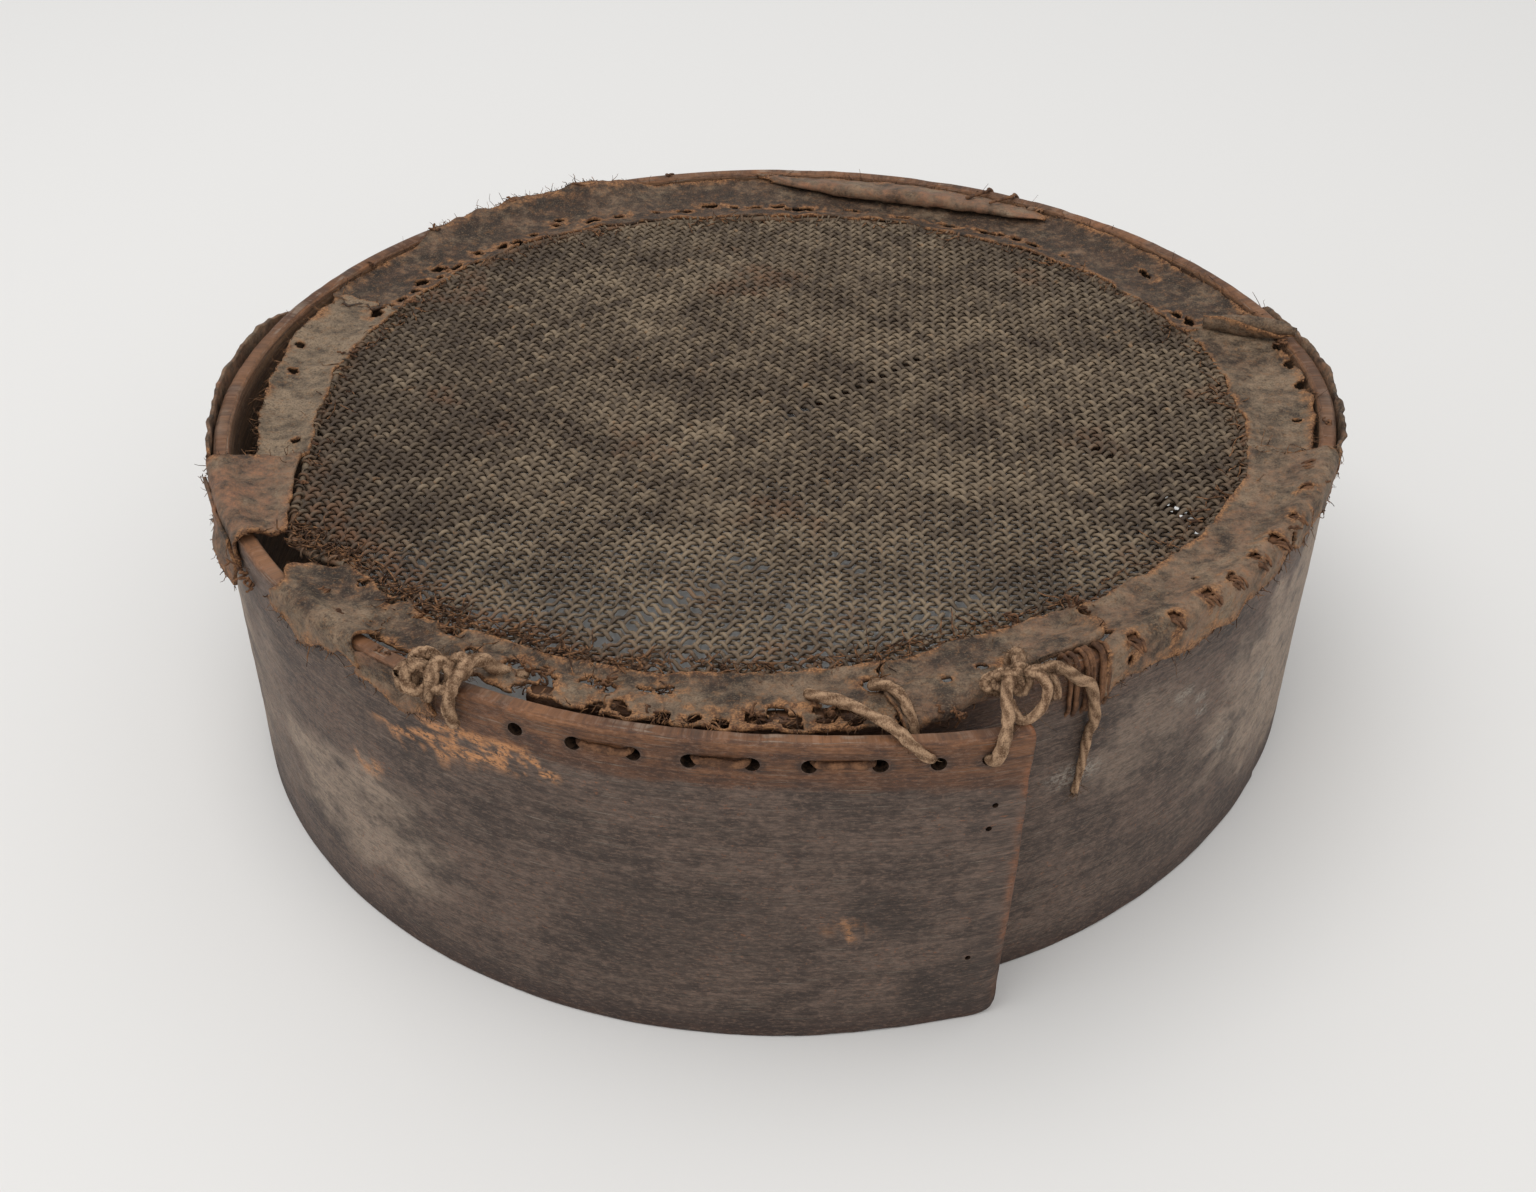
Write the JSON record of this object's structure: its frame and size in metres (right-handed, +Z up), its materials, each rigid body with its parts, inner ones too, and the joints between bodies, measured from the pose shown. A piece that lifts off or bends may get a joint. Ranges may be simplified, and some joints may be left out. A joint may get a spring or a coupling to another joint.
{
  "type": "tamis drum sieve",
  "caption": "Drum sieve: a lapped bentwood hoop with a woven rawhide net held across its top by a laced hide band.",
  "frame": {"origin": "middle of the foot circle, on the surface that the sieve stands on", "axes": "+Z up along the drum's axis, -Y towards the side with the lapped ends, +X to the right"},
  "size_m": [0.486, 0.4835, 0.1615],
  "materials": {
    "wood": "dark worn patina",
    "gut": "dry matte rawhide strands",
    "hide": "dull grey-brown rawhide",
    "hide_worn": "crusty orange-brown rawhide",
    "cord": "felted light brown thong"
  },
  "bodies": {
    "root": {"hoop": "wood", "net_warp": "gut", "net_weft": "gut", "net_edge_cord": "gut", "hide_band_left": "hide", "hide_band_back": "hide", "hide_band_side": "hide", "hide_band_right": "hide", "hide_tongue_right": "hide", "hide_band_front": "hide", "hide_wrap_front_left": "hide", "hide_fold_right": "hide", "hide_strip_front_left": "hide_worn", "hide_patch_left": "hide_worn", "hide_roll_back": "hide_worn", "hide_strip_outer_left": "hide_worn", "hide_strip_outer_right": "hide_worn", "lap_stitches": "cord", "rim_stitches": "cord", "roll_thongs": "cord", "knot_left": "cord", "tie_cord_left": "cord", "diagonal_cord": "cord", "short_cord": "cord", "tie_strand_right": "cord", "tie_loop_right": "cord", "knot_right": "cord", "tie_tail_right": "cord", "edge_whipping": "cord"}
  },
  "joints": []
}
